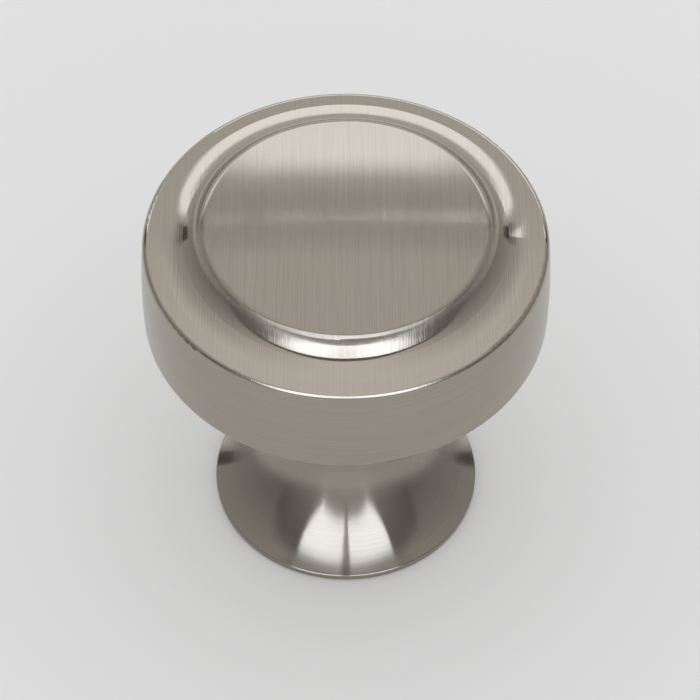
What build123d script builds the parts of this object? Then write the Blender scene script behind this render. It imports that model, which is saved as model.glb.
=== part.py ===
"""Round cabinet knob in one piece: a drum head with a raised crowned face, a slim neck and a flared foot."""
import os
from math import acos, asin, cos, degrees, radians, sin, sqrt, tan

from build123d import *

# Lengths in millimetres, angles in degrees. Origin at the middle of the foot's underside, +Z to the face.

# Overall
head_diameter = 32.0
projection = 32.4
foot_diameter = 22.0
neck_diameter = 9.2

# Raised face on the head, slightly crowned, its crown ending this far in from the head's fullest
face_inset = 5.2
face_crown_radius = 145.0
face_edge_radius = 0.65
face_step = 1.7
cove_radius = 2.4
runout_radius = 5.0
runout_angle = 20.0

# Head from its underside to the face, its side fullest a little below the middle
head_height = 10.3
rim_top_inset = 0.30
rim_bottom_inset = 0.05
rim_top_edge_radius = 0.42
rim_bottom_edge_radius = 0.45

# Neck and foot
underhead_radius = 7.0
foot_edge_height = 0.6
foot_edge_radius = 0.12
foot_slope = 19.0
foot_underside_chamfer = 0.15

# Blind hole for an M4 screw, its wall at the roots of the thread
thread_diameter = 4.0
thread_depth = 12.0
mouth_diameter = 5.0
mouth_angle = 90.0
drill_point_angle = 118.0

# Sizes that follow from the ones above
head_radius = head_diameter / 2
head_underside_height = projection - head_height
foot_radius = foot_diameter / 2
neck_radius = neck_diameter / 2
foot_flare_radius = (foot_radius - neck_radius) / (1 - sin(radians(foot_slope)))

face_edge_slope = degrees(asin((head_radius - face_inset) / face_crown_radius))
face_crown_height = face_crown_radius * (1 - cos(radians(face_edge_slope)))
cove_end_drop = cove_radius * cos(radians(runout_angle)) + runout_radius * (1 - cos(radians(runout_angle)))
straight_wall_drop = face_edge_radius * cos(radians(face_edge_slope)) + cove_end_drop
face_wall_slope = degrees(acos((straight_wall_drop - face_step) / (face_edge_radius + cove_radius)))

rim_height = head_height - face_crown_height - face_step
fullest_height = head_underside_height + rim_height / (1 + sqrt(rim_top_inset / rim_bottom_inset))
rim_top = (head_radius - rim_top_inset, head_underside_height + rim_height)
rim_bottom = (head_radius - rim_bottom_inset, head_underside_height)
underhead_start = (neck_radius + underhead_radius, head_underside_height)
foot_top = (foot_radius, foot_edge_height)
foot_bottom = (foot_radius, 0)
foot_rise = (-cos(radians(foot_slope)), sin(radians(foot_slope)))

drill_point_height = thread_diameter / 2 / tan(radians(drill_point_angle / 2))

with BuildPart() as knob:
    # Half section from the middle of the face, round the outside and back along the underside
    with BuildSketch(Plane.XZ) as half_section:
        with BuildLine():
            face = JernArc((0, projection), (1, 0), face_crown_radius, -face_edge_slope)
            face_edge = JernArc(face @ 1, face % 1, face_edge_radius, face_edge_slope - face_wall_slope)
            cove = JernArc(face_edge @ 1, face_edge % 1, cove_radius, face_wall_slope - runout_angle)
            runout = JernArc(cove @ 1, cove % 1, runout_radius, runout_angle)
            Line(runout @ 1, rim_top)
            ThreePointArc(rim_top, (head_radius, fullest_height), rim_bottom)
            Line(rim_bottom, underhead_start)
            underhead = JernArc(underhead_start, (-1, 0), underhead_radius, 90)
            foot_flare = JernArc(foot_top, foot_rise, foot_flare_radius, foot_slope - 90)
            Line(underhead @ 1, foot_flare @ 1)
            Polyline(foot_top, foot_bottom, (0, 0), (0, projection))
        make_face()

        # Rounded edges of the head and the foot
        for corner, edge_radius in (
            (rim_top, rim_top_edge_radius),
            (rim_bottom, rim_bottom_edge_radius),
            (foot_top, foot_edge_radius),
        ):
            fillet(half_section.vertices().sort_by_distance(corner)[0], edge_radius)
        chamfer(half_section.vertices().sort_by_distance(foot_bottom)[0], foot_underside_chamfer)
    revolve(axis=Axis.Z)

    # Screw hole with its countersunk mouth and the cone left by the drill
    with Locations(Plane(origin=(0, 0, 0), z_dir=(0, 0, -1))):
        CounterSinkHole(thread_diameter / 2, mouth_diameter / 2, thread_depth, mouth_angle)
    with Locations((0, 0, thread_depth)):
        Cone(
            thread_diameter / 2,
            0,
            drill_point_height,
            align=(Align.CENTER, Align.CENTER, Align.MIN),
            mode=Mode.SUBTRACT,
        )

knob.part.label = "knob"

os.makedirs("parts", exist_ok=True)
export_step(knob.part, "parts/knob.step")
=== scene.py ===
import math

import bpy
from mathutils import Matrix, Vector


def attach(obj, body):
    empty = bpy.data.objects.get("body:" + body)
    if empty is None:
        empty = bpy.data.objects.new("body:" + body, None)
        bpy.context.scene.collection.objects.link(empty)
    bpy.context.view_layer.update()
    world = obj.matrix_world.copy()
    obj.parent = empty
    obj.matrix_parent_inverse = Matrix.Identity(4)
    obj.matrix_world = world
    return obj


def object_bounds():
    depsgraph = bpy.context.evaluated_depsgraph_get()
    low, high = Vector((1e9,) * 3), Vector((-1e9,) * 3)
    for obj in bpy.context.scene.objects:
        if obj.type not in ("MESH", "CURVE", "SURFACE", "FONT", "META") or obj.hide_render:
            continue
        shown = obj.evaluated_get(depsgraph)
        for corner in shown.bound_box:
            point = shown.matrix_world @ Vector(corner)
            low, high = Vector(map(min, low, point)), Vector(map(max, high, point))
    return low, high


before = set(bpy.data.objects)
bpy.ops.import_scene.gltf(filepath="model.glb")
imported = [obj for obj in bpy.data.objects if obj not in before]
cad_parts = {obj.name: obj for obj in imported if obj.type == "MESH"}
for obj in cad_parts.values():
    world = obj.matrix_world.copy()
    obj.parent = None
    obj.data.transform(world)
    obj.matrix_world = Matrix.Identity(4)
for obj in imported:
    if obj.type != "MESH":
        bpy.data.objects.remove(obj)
cad_low, cad_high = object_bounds()

MM = 0.001

# Where the finishes meet, measured from the knob's own top and side: the straight lines end on the head's
# rounded top edge, and the deep lines of the raised face fade out a little way outside it
top_edge_drop = 2.3 * MM
top_edge_height = cad_high[2] - top_edge_drop
top_edge_blend = 0.05 * MM
face_inset = 5.2 * MM
face_radius = cad_high[0] - face_inset
face_lines_fade_start = face_radius + 0.3 * MM
face_lines_fade_end = face_radius + 1.0 * MM

# Nickel finish: brushed straight over the face, cove and shoulder, turned round everywhere below them
nickel_colour = (0.42, 0.38, 0.322, 1.0)
straight_roughness = 0.11
turned_roughness = 0.15
brush_anisotropy = 1.0
# Painted shade: the face's colour is made darker than the shoulder's to stand in for the dimmer light it
# mirrors
face_painted_shade = 0.94
# Painted shade: the colour of the side, neck and foot is made darker than the shoulder's to stand in for
# the darker floor and walls they mirror
turned_painted_shade = 0.88
streak_shades = (0.95, 1.05)

# Brush lines, with broader streaks among them; most of the noise that draws them lies in noise_range
straight_line_pitches = (0.0145 * MM, 0.02 * MM, 0.0265 * MM)
straight_line_wander = 2.0
face_line_slope = 0.18
ring_line_slope = 0.015
straight_streak_width = 0.1 * MM
straight_streak_length = 12 * MM
straight_streak_depth = 0.01 * MM
turned_line_width = 0.02 * MM
turned_line_length = 6 * MM
turned_line_depth = 0.001 * MM
turned_streak_width = 0.15 * MM
turned_streak_length = 10 * MM
streak_detail = 2.0
noise_roughness = 0.6
noise_range = (0.3, 0.7)
bump_filter = 0.02

# Screw thread in the foot, and the marks that the tap leaves on it
thread_root_radius = 2.0 * MM
thread_crest_radius = 1.66 * MM
thread_pitch = 0.7 * MM
thread_root_half_width = 0.42 * thread_pitch
thread_crest_half_width = 0.09 * thread_pitch
thread_start = 0.6 * MM
thread_end = 11.2 * MM
thread_steps_per_turn = 48
tap_mark_width = 0.05 * MM
tap_mark_length = 1.5 * MM
tap_mark_depth = 0.004 * MM
tap_mark_shades = (0.8, 1.05)
tap_mark_roughness = (0.4, 0.28)

# Floor and room
floor_height = -0.02 * MM
floor_size = 6.0
floor_colour = (0.93, 0.93, 0.93, 1.0)
floor_roughness = 0.9
floor_cloud_scale = 4.0
floor_cloud_detail = 3.0
floor_cloud_shades = (0.99, 1.01)
room_light = (0.8, 0.8, 0.8, 1.0)

# Cards round the knob: a card's reach is measured in degrees from the back, over the top, to the front,
# and its lean in degrees to the right of upright; its light is the strength of its glow
studio_centre = Vector((0, 0, 28 * MM))
card_steps = 16

# Walls and ceiling, where each one ends and how light it is there
wall_distance = 1.5
wall_colour = (1.0, 1.0, 1.0, 1.0)
back_wall_start = 2
back_wall_end = 48
ceiling_start = 52
ceiling_end = 100
front_wall_end = 178
ceiling_side = 32
horizon = 91
back_wall_light = 0.75
back_corner_light = 0.35
back_ceiling_side_light = 0.7
ceiling_light = 1.1
ceiling_side_light = 0.55
side_wall_front_light = 0.5
front_wall_light = 0.2
front_wall_low_light = 0.6

# Lamps and flags in front of the walls
lamp_distance = 1.2
back_panel_colour = (0.98, 1.0, 1.05, 1.0)
back_panel_reach = (20, 42)
back_panel_low_side = 8
back_panel_high_side = 52
back_panel_low_light = 1.7
back_panel_high_light = 1.75
back_panel_fade_end = 44.2
flag_reach = (45.5, 51)
flag_lean = (37, 65)
flag_light = 0.08
small_lamp_reach = (47.5, 48.5)
small_lamp_lean = (20, 37)
small_lamp_light = 2.2
softbox_colour = (0.93, 1.0, 1.11, 1.0)
softbox_reach = (106, 150)
softbox_lean = ((2, 24), (3, 62))
softbox_light = 2.8
softbox_join_lean = ((-2, 2), (-3, 3))
softbox_join_light = 0.7

# Camera
camera_aim = Vector((0, 0, 15 * MM))
camera_distance = 0.240
camera_elevation = math.radians(50.99)
camera_sensor = 36
camera_lens = 152.085
camera_shift = (0.00596, 0.01874)
camera_clip = (0.01, 20)


def place(tree, kind, settings=None, **inputs):
    """A node with its settings and inputs; an input is a plain value or another node's output."""
    node = tree.nodes.new(kind)
    for name, value in (settings or {}).items():
        setattr(node, name, value)
    for name, value in inputs.items():
        key = int(name[1:]) if name[0] == "i" and name[1:].isdigit() else name.replace("_", " ")
        socket = node.inputs[key]
        if isinstance(value, bpy.types.NodeSocket):
            tree.links.new(value, socket)
        else:
            socket.default_value = value
    return node


def sums(tree, operation, *values):
    """Output of a math node."""
    inputs = {"i%d" % k: v for k, v in enumerate(values)}
    return place(tree, "ShaderNodeMath", {"operation": operation}, **inputs).outputs[0]


def vectors(tree, operation, *values):
    """Output of a vector math node."""
    inputs = {"i%d" % k: v for k, v in enumerate(values)}
    node = place(tree, "ShaderNodeVectorMath", {"operation": operation}, **inputs)
    return node.outputs["Value" if operation == "LENGTH" else "Vector"]


def ramp(tree, value, low, high, to_low=0.0, to_high=1.0, kind="LINEAR"):
    """A value carried from one range into another, held at both ends."""
    node = place(
        tree, "ShaderNodeMapRange", {"interpolation_type": kind},
        Value=value, From_Min=low, From_Max=high, To_Min=to_low, To_Max=to_high,
    )
    return node.outputs["Result"]


def mixed(tree, share, low, high):
    """A value between two others."""
    return place(tree, "ShaderNodeMix", None, Factor=share, i2=low, i3=high).outputs[0]


def shaded(tree, colour, shade):
    """A colour made lighter or darker by a value near one."""
    node = place(
        tree, "ShaderNodeMix", {"data_type": "RGBA", "blend_type": "MULTIPLY"},
        Factor=1.0, i6=colour, i7=shade,
    )
    return node.outputs[2]


def new_material(name):
    material = bpy.data.materials.new(name)
    material.use_nodes = True
    material.node_tree.nodes.clear()
    return material


def brush_lines():
    """Node group of noise drawn out into lines: fine across them and long along them."""
    tree = bpy.data.node_groups.new("brush_lines", "ShaderNodeTree")
    for name in ("Across", "Depth", "Line Width", "Line Length", "Detail"):
        tree.interface.new_socket(name, in_out="INPUT", socket_type="NodeSocketFloat")
    tree.interface.new_socket("Along", in_out="INPUT", socket_type="NodeSocketVector")
    tree.interface.new_socket("Lines", in_out="OUTPUT", socket_type="NodeSocketFloat")
    given = place(tree, "NodeGroupInput").outputs
    along = place(tree, "ShaderNodeSeparateXYZ", None, Vector=given["Along"])
    vector = place(
        tree, "ShaderNodeCombineXYZ", None,
        X=sums(tree, "DIVIDE", given["Across"], given["Line Width"]),
        Y=sums(tree, "DIVIDE", along.outputs["X"], given["Line Length"]),
        Z=sums(tree, "DIVIDE", given["Depth"], given["Line Width"]),
    ).outputs[0]
    noise = place(
        tree, "ShaderNodeTexNoise", {"noise_dimensions": "4D"},
        Vector=vector, W=sums(tree, "DIVIDE", along.outputs["Y"], given["Line Length"]),
        Scale=1.0, Detail=given["Detail"], Roughness=noise_roughness,
    )
    place(tree, "NodeGroupOutput", None, Lines=noise.outputs["Fac"])
    return tree


def lines(tree, group, **inputs):
    """Output of the brush lines placed in a material."""
    return place(tree, "ShaderNodeGroup", {"node_tree": group}, **inputs).outputs["Lines"]


def straight_lines_height(tree, x, streaks, on_face):
    """Height of the straight lines: fine waves that wander with the streaks and are deepest on the face."""
    wander = sums(tree, "MULTIPLY", streaks, straight_line_wander)
    waves = 0.0
    for pitch in straight_line_pitches:
        turn = sums(tree, "MULTIPLY", x, 2 * math.pi / pitch)
        wave = sums(tree, "SINE", sums(tree, "ADD", turn, wander))
        waves = sums(tree, "MULTIPLY_ADD", wave, pitch / (2 * math.pi), waves)
    fine = sums(tree, "MULTIPLY", waves, mixed(tree, on_face, ring_line_slope, face_line_slope))
    return sums(tree, "MULTIPLY_ADD", streaks, straight_streak_depth, fine)


def satin_nickel(group):
    """Nickel plate brushed straight along Y on top of the head and round the axis everywhere else."""
    material = new_material("satin_nickel")
    tree = material.node_tree
    point = place(tree, "ShaderNodeTexCoord").outputs["Object"]
    normal = place(tree, "ShaderNodeNewGeometry").outputs["Normal"]
    xyz = place(tree, "ShaderNodeSeparateXYZ", None, Vector=point)
    x, y, z = xyz.outputs["X"], xyz.outputs["Y"], xyz.outputs["Z"]
    level = place(tree, "ShaderNodeCombineXYZ", None, X=x, Y=y, Z=0.0).outputs[0]
    radius = vectors(tree, "LENGTH", level)
    on_top = ramp(
        tree, z, top_edge_height - top_edge_blend, top_edge_height + top_edge_blend, kind="SMOOTHSTEP"
    )
    on_face = ramp(tree, radius, face_lines_fade_end, face_lines_fade_start, kind="SMOOTHSTEP")

    # Direction of the lines, and the one across them that the gloss is drawn out along
    round_the_axis = vectors(tree, "CROSS_PRODUCT", (0, 0, 1), vectors(tree, "NORMALIZE", level))
    line = place(
        tree, "ShaderNodeMix", {"data_type": "VECTOR"}, Factor=on_top, i4=round_the_axis, i5=(0.0, 1.0, 0.0)
    ).outputs[1]
    across_line = vectors(tree, "NORMALIZE", vectors(tree, "CROSS_PRODUCT", line, normal))

    # Streaks and fine lines of both kinds
    lengthways = place(tree, "ShaderNodeCombineXYZ", None, X=y).outputs[0]
    straight_streaks = lines(
        tree, group, Across=x, Along=lengthways,
        Line_Width=straight_streak_width, Line_Length=straight_streak_length, Detail=streak_detail,
    )
    turned_streaks = lines(
        tree, group, Across=radius, Along=level, Depth=z,
        Line_Width=turned_streak_width, Line_Length=turned_streak_length, Detail=streak_detail,
    )
    turned_lines = lines(
        tree, group, Across=radius, Along=level, Depth=z,
        Line_Width=turned_line_width, Line_Length=turned_line_length, Detail=0.0,
    )
    straight_height = straight_lines_height(tree, x, straight_streaks, on_face)
    turned_height = sums(tree, "MULTIPLY", turned_lines, turned_line_depth)
    bump = place(
        tree, "ShaderNodeBump", None, Strength=1.0, Distance=1.0, Filter_Width=bump_filter,
        Height=mixed(tree, on_top, turned_height, straight_height),
    )

    # Shade of the streaks; and painted shade that makes the face and the turned surfaces darker than the
    # shoulder, standing in for the dimmer light they mirror
    streaks = mixed(tree, on_top, turned_streaks, straight_streaks)
    shade = ramp(tree, streaks, *noise_range, *streak_shades)
    shade = sums(tree, "MULTIPLY", shade, mixed(tree, on_face, 1.0, face_painted_shade))
    shade = sums(tree, "MULTIPLY", shade, mixed(tree, on_top, turned_painted_shade, 1.0))
    shader = place(
        tree, "ShaderNodeBsdfPrincipled", None,
        Base_Color=shaded(tree, nickel_colour, shade), Metallic=1.0,
        Roughness=mixed(tree, on_top, turned_roughness, straight_roughness),
        Anisotropic=brush_anisotropy, Normal=bump.outputs["Normal"], Tangent=across_line,
    )
    place(tree, "ShaderNodeOutputMaterial", None, Surface=shader.outputs[0])
    return material


def cut_thread(group):
    """Nickel left as the tap cut it, with marks that run round the hole."""
    material = new_material("cut_thread")
    tree = material.node_tree
    point = place(tree, "ShaderNodeTexCoord").outputs["Object"]
    xyz = place(tree, "ShaderNodeSeparateXYZ", None, Vector=point)
    x, y, z = xyz.outputs["X"], xyz.outputs["Y"], xyz.outputs["Z"]
    level = place(tree, "ShaderNodeCombineXYZ", None, X=x, Y=y, Z=0.0).outputs[0]
    marks = lines(
        tree, group, Across=z, Along=level, Depth=vectors(tree, "LENGTH", level),
        Line_Width=tap_mark_width, Line_Length=tap_mark_length, Detail=streak_detail,
    )
    bump = place(
        tree, "ShaderNodeBump", None, Strength=1.0, Distance=1.0,
        Height=sums(tree, "MULTIPLY", marks, tap_mark_depth),
    )
    shader = place(
        tree, "ShaderNodeBsdfPrincipled", None,
        Base_Color=shaded(tree, nickel_colour, ramp(tree, marks, *noise_range, *tap_mark_shades)),
        Metallic=1.0, Roughness=ramp(tree, marks, *noise_range, *tap_mark_roughness),
        Normal=bump.outputs["Normal"],
    )
    place(tree, "ShaderNodeOutputMaterial", None, Surface=shader.outputs[0])
    return material


def mesh_piece(name, points, faces, material):
    """A flat-shaded mesh of the given points and faces."""
    mesh = bpy.data.meshes.new(name)
    mesh.from_pydata(points, [], faces)
    mesh.materials.append(material)
    mesh.update()
    piece = bpy.data.objects.new(name, mesh)
    bpy.context.scene.collection.objects.link(piece)
    return piece


def screw_thread(material):
    """The ridge of the thread, a closed helical bar whose back lies on the hole's wall."""
    section = [
        (thread_root_radius, -thread_root_half_width),
        (thread_crest_radius, -thread_crest_half_width),
        (thread_crest_radius, thread_crest_half_width),
        (thread_root_radius, thread_root_half_width),
    ]
    turns = (thread_end - thread_start - thread_pitch) / thread_pitch
    steps = int(turns * thread_steps_per_turn)
    points = []
    for k in range(steps + 1):
        turn = 2 * math.pi * k / thread_steps_per_turn
        rise = thread_start + thread_pitch / 2 + thread_pitch * k / thread_steps_per_turn
        for radius, offset in section:
            points.append((radius * math.cos(turn), radius * math.sin(turn), rise + offset))
    faces = []
    n = len(section)
    for k in range(steps):
        for j in range(n):
            a = k * n + j
            b = k * n + (j + 1) % n
            faces.append((a, a + n, b + n, b))
    faces.append(tuple(range(n)))
    faces.append(tuple(steps * n + j for j in reversed(range(n))))
    return mesh_piece("screw_thread", points, faces, material)


def glow(name, colour):
    """Light given off by the cards, as strong as each card says at its corners."""
    material = new_material(name)
    tree = material.node_tree
    strength = place(tree, "ShaderNodeAttribute", {"attribute_name": "card_light"}).outputs["Fac"]
    shader = place(tree, "ShaderNodeEmission", None, Color=colour, Strength=strength)
    place(tree, "ShaderNodeOutputMaterial", None, Surface=shader.outputs[0])
    return material


def between(ends, share):
    return ends[0] + (ends[1] - ends[0]) * share


def inside(corners, right, far):
    """A value inside a card, from its left and right corners at the near edge and at the far edge."""
    return between((between(corners[0], right), between(corners[1], right)), far)


def even(left, right):
    """Corner values of a card that change only from its left side to its right."""
    return ((left, right), (left, right))


def graded(near, far):
    """Corner values of a card that change only from its near edge to its far edge."""
    return ((near, near), (far, far))


def direction(reach, lean):
    """The way from the middle of the studio to a point of a card."""
    swing, tip = math.radians(reach), math.radians(lean)
    return Vector((math.sin(swing) * math.sin(tip), math.cos(swing), math.sin(swing) * math.cos(tip)))


def card(name, distance, reach, lean, light, material):
    """A curved card far from the knob, lit as its corners say, that is seen only in reflections."""
    row = card_steps + 1
    points, lights, faces = [], [], []
    for j in range(row):
        far = j / card_steps
        for i in range(row):
            right = i / card_steps
            toward = direction(between(reach, far), inside(lean, right, far))
            points.append(studio_centre + distance * toward)
            lights.append(inside(light, right, far))
    for j in range(card_steps):
        for i in range(card_steps):
            a = j * row + i
            faces.append((a, a + 1, a + row + 1, a + row))
    piece = mesh_piece(name, points, faces, material)
    piece.data.attributes.new("card_light", "FLOAT", "POINT").data.foreach_set("value", lights)
    piece.visible_camera = False
    piece.visible_diffuse = False
    piece.visible_shadow = False


def pair(name, distance, reach, lean, light, material):
    """The same card on the right and, mirrored, on the left."""
    card("right_" + name, distance, reach, lean, light, material)
    mirrored_lean = tuple((-right, -left) for left, right in lean)
    mirrored_light = tuple((right, left) for left, right in light)
    card("left_" + name, distance, reach, mirrored_lean, mirrored_light, material)


def walls(paint):
    """Walls and ceiling, most of them graded into each other."""
    middle = even(0, ceiling_side)
    side = even(ceiling_side, horizon)
    back = (back_wall_start, back_wall_end)
    pair("back_wall", wall_distance, back, middle, graded(back_wall_light, back_wall_light), paint)
    pair(
        "back_corner", wall_distance, back, side,
        ((back_wall_light, back_wall_light), (back_wall_light, back_corner_light)), paint,
    )
    pair(
        "back_ceiling", wall_distance, (back_wall_end, ceiling_start), middle,
        ((back_wall_light, back_ceiling_side_light), (ceiling_light, ceiling_side_light)), paint,
    )
    pair(
        "ceiling", wall_distance, (ceiling_start, ceiling_end), middle,
        even(ceiling_light, ceiling_side_light), paint,
    )
    pair(
        "side_wall", wall_distance, (back_wall_end, ceiling_end), side,
        ((ceiling_side_light, back_corner_light), (side_wall_front_light, front_wall_light)), paint,
    )
    card(
        "front_wall", wall_distance, (ceiling_end, front_wall_end), even(-horizon, horizon),
        graded(front_wall_light, front_wall_low_light), paint,
    )


def back_panel(panel):
    """The lit panel at the back, which fades into the wall along its top edge."""
    low, high = back_panel_low_side, back_panel_high_side
    card(
        "back_panel", lamp_distance, back_panel_reach, ((-low, low), (-high, high)),
        graded(back_panel_low_light, back_panel_high_light), panel,
    )
    card(
        "back_panel_edge", lamp_distance, (back_panel_reach[1], back_panel_fade_end), even(-high, high),
        graded(back_panel_high_light, back_wall_light), panel,
    )


def lamps(paint, cloth):
    """Two dark flags, a small lamp and the two softboxes in front with their join."""
    pair("flag", lamp_distance, flag_reach, even(*flag_lean), graded(flag_light, flag_light), paint)
    card(
        "small_lamp", lamp_distance, small_lamp_reach, even(*small_lamp_lean),
        graded(small_lamp_light, small_lamp_light), cloth,
    )
    pair("softbox", lamp_distance, softbox_reach, softbox_lean, graded(softbox_light, softbox_light), cloth)
    card(
        "softbox_join", lamp_distance, softbox_reach, softbox_join_lean,
        graded(softbox_join_light, softbox_join_light), paint,
    )


def floor_paper():
    """Pale matt paper, with a faint cloudiness in it."""
    material = new_material("floor_paper")
    tree = material.node_tree
    point = place(tree, "ShaderNodeTexCoord").outputs["Object"]
    clouds = place(
        tree, "ShaderNodeTexNoise", None, Vector=point, Scale=floor_cloud_scale, Detail=floor_cloud_detail
    ).outputs["Fac"]
    paper = place(
        tree, "ShaderNodeBsdfPrincipled", None,
        Base_Color=shaded(tree, floor_colour, ramp(tree, clouds, *noise_range, *floor_cloud_shades)),
        Roughness=floor_roughness,
    )
    place(tree, "ShaderNodeOutputMaterial", None, Surface=paper.outputs[0])
    return material


def floor():
    half = floor_size / 2
    corners = [(x * half, y * half, floor_height) for x, y in ((-1, -1), (1, -1), (1, 1), (-1, 1))]
    mesh_piece("floor", corners, [(0, 1, 2, 3)], floor_paper())


def room():
    """Even light from all round."""
    world = bpy.data.worlds.new("pale_room")
    bpy.context.scene.world = world
    world.use_nodes = True
    world.node_tree.nodes.clear()
    shader = place(world.node_tree, "ShaderNodeBackground", None, Color=room_light, Strength=1.0)
    place(world.node_tree, "ShaderNodeOutputWorld", None, Surface=shader.outputs[0])


def camera():
    lens = bpy.data.cameras.new("camera")
    lens.sensor_width = camera_sensor
    lens.lens = camera_lens
    lens.shift_x, lens.shift_y = camera_shift
    lens.clip_start, lens.clip_end = camera_clip
    view = bpy.data.objects.new("camera", lens)
    bpy.context.scene.collection.objects.link(view)
    back = Vector((0, -math.cos(camera_elevation), math.sin(camera_elevation)))
    view.location = camera_aim + camera_distance * back
    view.rotation_mode = "QUATERNION"
    view.rotation_quaternion = (-back).to_track_quat("-Z", "Y")
    bpy.context.scene.camera = view


brushed = brush_lines()
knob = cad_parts["knob"]
knob.material_slots[0].link = "OBJECT"
knob.material_slots[0].material = satin_nickel(brushed)

thread = screw_thread(cut_thread(brushed))
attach(thread, "root")

floor()
room()
wall_glow = glow("wall_light", wall_colour)
walls(wall_glow)
back_panel(glow("back_panel_light", back_panel_colour))
lamps(wall_glow, glow("softbox_light", softbox_colour))
camera()
bpy.context.scene.view_settings.view_transform = "Standard"
